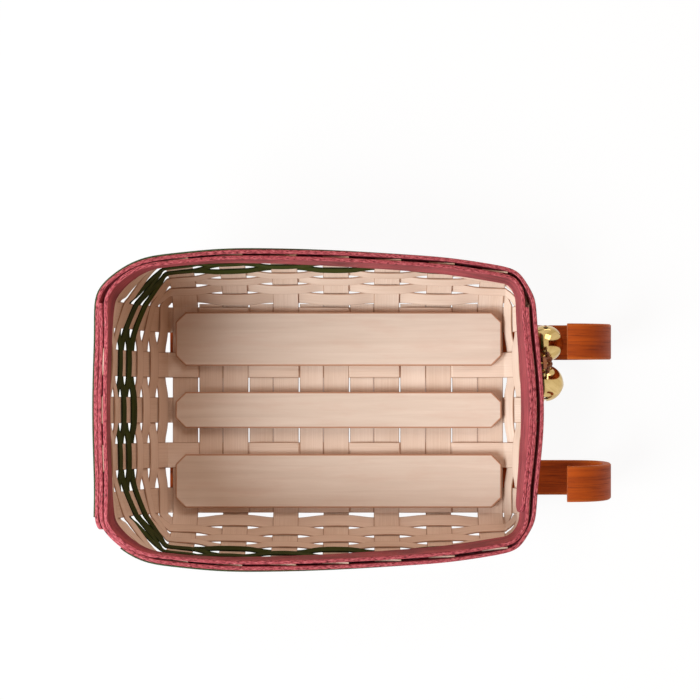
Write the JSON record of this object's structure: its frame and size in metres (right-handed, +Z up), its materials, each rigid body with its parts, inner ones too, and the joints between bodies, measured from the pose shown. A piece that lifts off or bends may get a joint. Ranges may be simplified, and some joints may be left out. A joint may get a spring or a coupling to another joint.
{
  "type": "sleigh basket",
  "caption": "Splint-woven wooden basket shaped like a sleigh, with a high back, swept dyed rim bands, slatted floor boards, curled bentwood runners and a pair of brass jingle bells.",
  "frame": {"origin": "on the table, under the middle of the whole object's box", "axes": "+X towards the low front and the runners' curls, +Y to the left, the bells' side, +Z up"},
  "size_m": [0.3732, 0.23, 0.1284],
  "materials": {
    "splint": "thin bare maple splint",
    "green_splint": "splint dyed dark green",
    "rim": "bentwood band dyed burgundy",
    "trim": "narrow splint dyed green",
    "board": "sanded bare maple",
    "runner": "bentwood with an orange-brown stain",
    "screw_steel": "plain countersunk wood screw",
    "leather": "brown thong leather",
    "tack_brass": "plain round head",
    "bell_brass": "polished",
    "pellet_steel": "plain"
  },
  "bodies": {
    "basket": {"cross_stake_1": "splint", "cross_stake_2": "splint", "cross_stake_3": "splint", "cross_stake_4": "splint", "cross_stake_5": "splint", "cross_stake_6": "splint", "cross_stake_7": "splint", "long_stake_1": "splint", "long_stake_2": "splint", "long_stake_3": "splint", "long_stake_4": "splint", "long_stake_5": "splint", "floor_filler_1": "splint", "floor_filler_2": "splint", "floor_filler_3": "splint", "floor_filler_4": "splint", "floor_filler_5": "splint", "floor_filler_6": "splint", "weaver_1": "splint", "weaver_2": "splint", "weaver_3": "splint", "weaver_4": "splint", "weaver_9": "splint", "weaver_10": "splint", "weaver_11": "splint", "weaver_12": "splint", "weaver_5_green": "green_splint", "weaver_6_green": "green_splint", "weaver_7_green": "green_splint", "weaver_8_green": "green_splint", "inner_band": "rim", "outer_band": "rim", "trim_strip": "trim", "left_board": "board", "middle_board": "board", "right_board": "board", "left_runner": "runner", "right_runner": "runner", "left_screw_1": "screw_steel", "left_screw_2": "screw_steel", "left_screw_3": "screw_steel", "right_screw_1": "screw_steel", "right_screw_2": "screw_steel", "right_screw_3": "screw_steel", "bell_tab": "leather", "bell_knot": "leather", "bell_tab_tack": "tack_brass"},
    "bell_1": {"bell_1_cap": "bell_brass", "bell_1_cup": "bell_brass", "bell_1_ring": "bell_brass", "bell_1_thong": "leather"},
    "bell_1_pellet": {"bell_1_pellet": "pellet_steel"},
    "bell_2": {"bell_2_cap": "bell_brass", "bell_2_cup": "bell_brass", "bell_2_ring": "bell_brass", "bell_2_thong": "leather"},
    "bell_2_pellet": {"bell_2_pellet": "pellet_steel"}
  },
  "joints": [
    {"name": "bell_1_swing", "type": "hinge", "parent": "basket", "child": "bell_1", "pos_m": [0.13935, 0.03478, 0.0476], "axis": [0, -1, 0], "range_deg": [-8, 45]},
    {"name": "bell_1_rattle", "type": "slide", "parent": "bell_1", "child": "bell_1_pellet", "axis": [0, 0, 1], "range_m": [0, 0.017]},
    {"name": "bell_2_swing", "type": "hinge", "parent": "basket", "child": "bell_2", "pos_m": [0.13935, 0.03478, 0.0476], "axis": [0, -1, 0], "range_deg": [-8, 45]},
    {"name": "bell_2_rattle", "type": "slide", "parent": "bell_2", "child": "bell_2_pellet", "axis": [0, 0, 1], "range_m": [0, 0.017]}
  ]
}
